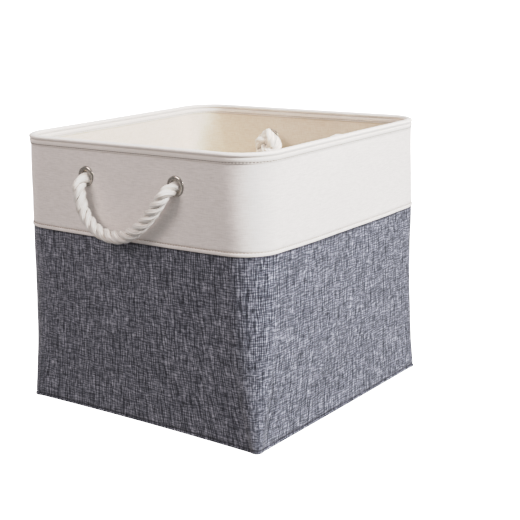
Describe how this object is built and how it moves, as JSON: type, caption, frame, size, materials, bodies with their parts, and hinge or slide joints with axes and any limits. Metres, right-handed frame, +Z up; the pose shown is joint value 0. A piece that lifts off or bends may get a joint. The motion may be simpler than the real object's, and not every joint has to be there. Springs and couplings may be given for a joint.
{
  "type": "fabric storage bin",
  "caption": "Open square fabric storage bin with a grey lower wall, an off-white band, a wire rim and a rope loop handle on two opposite walls.",
  "frame": {"origin": "on the floor under the middle of the bin", "axes": "+Z up, -Y out of the front wall that carries the front handle, +X to the right of it"},
  "size_m": [0.3434, 0.3824, 0.312],
  "materials": {
    "grey_slub_linen": "woven slub linen look, matt",
    "offwhite_canvas": "plain woven canvas, matt",
    "lining_cotton": "smooth cotton lining, matt",
    "foam": "soft closed foam sheet",
    "greyboard": "raw greyboard",
    "spring_steel": "drawn steel wire",
    "nickel_plate": "polished nickel plate",
    "cotton_rope": "three-strand twisted cotton"
  },
  "bodies": {
    "base": {"outer_wall": "grey_slub_linen", "lining_wall": "lining_cotton", "front_wall_panel": "foam", "right_wall_panel": "foam", "back_wall_panel": "foam", "left_wall_panel": "foam", "outer_bottom": "grey_slub_linen", "base_board": "greyboard", "lining_bottom": "lining_cotton"},
    "rim": {"upper_band": "offwhite_canvas", "band_facing": "offwhite_canvas", "front_band_panel": "foam", "right_band_panel": "foam", "back_band_panel": "foam", "left_band_panel": "foam", "rim_binding": "offwhite_canvas", "rim_wire": "spring_steel", "wire_sleeve": "spring_steel", "front_left_eyelet": "nickel_plate", "front_right_eyelet": "nickel_plate", "back_left_eyelet": "nickel_plate", "back_right_eyelet": "nickel_plate", "front_left_washer": "nickel_plate", "front_right_washer": "nickel_plate", "back_left_washer": "nickel_plate", "back_right_washer": "nickel_plate"},
    "front_rope_ends": {"front_left_neck": "cotton_rope", "front_right_neck": "cotton_rope", "front_left_knot": "cotton_rope", "front_right_knot": "cotton_rope"},
    "front_rope_loop": {"front_rope_loop": "cotton_rope"},
    "back_rope_ends": {"back_left_neck": "cotton_rope", "back_right_neck": "cotton_rope", "back_left_knot": "cotton_rope", "back_right_knot": "cotton_rope"},
    "back_rope_loop": {"back_rope_loop": "cotton_rope"}
  },
  "joints": [
    {"name": "collapse", "type": "slide", "parent": "base", "child": "rim", "axis": [0, 0, -1], "range_m": [0, 0.19], "deforming": ["outer_wall", "lining_wall", "front_wall_panel", "right_wall_panel", "back_wall_panel", "left_wall_panel"]},
    {"name": "front_rope_pull", "type": "slide", "parent": "rim", "child": "front_rope_ends", "axis": [0, -1, 0], "range_m": [0, 0.006]},
    {"name": "front_rope_swing", "type": "hinge", "parent": "front_rope_ends", "child": "front_rope_loop", "pos_m": [0.004, -0.18207, 0.2727], "axis": [-1, 0, 0], "range_deg": [0, 165]},
    {"name": "back_rope_pull", "type": "slide", "parent": "rim", "child": "back_rope_ends", "axis": [0, 1, 0], "range_m": [0, 0.006]},
    {"name": "back_rope_swing", "type": "hinge", "parent": "back_rope_ends", "child": "back_rope_loop", "pos_m": [0.012, 0.18207, 0.2727], "axis": [1, 0, 0], "range_deg": [0, 165]}
  ]
}
